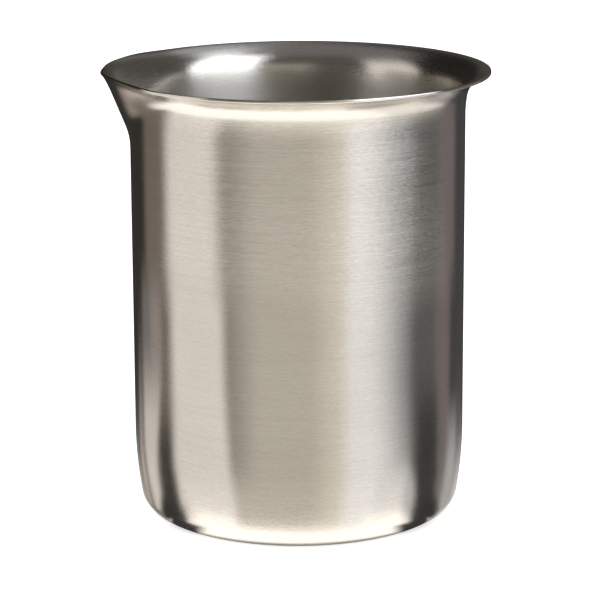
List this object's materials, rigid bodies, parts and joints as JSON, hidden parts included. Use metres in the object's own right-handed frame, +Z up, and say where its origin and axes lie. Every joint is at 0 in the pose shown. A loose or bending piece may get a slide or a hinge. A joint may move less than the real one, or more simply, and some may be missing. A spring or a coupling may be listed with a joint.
{
  "type": "mixing beaker",
  "caption": "Straight-sided metal mixing beaker with a flared rim, a small pouring spout, a gently tucked base and a brushed finish.",
  "frame": {"origin": "centre of the flat underside of the base, on the axis of the round body", "axes": "+Z up along the body's axis; -X towards the spout's tip; the plane Y = 0 is the mirror plane"},
  "size_m": [0.0998, 0.099, 0.1161],
  "materials": {
    "steel": "brushed round the circumference, satin"
  },
  "bodies": {
    "root": {"beaker_shell": "steel"}
  },
  "joints": []
}
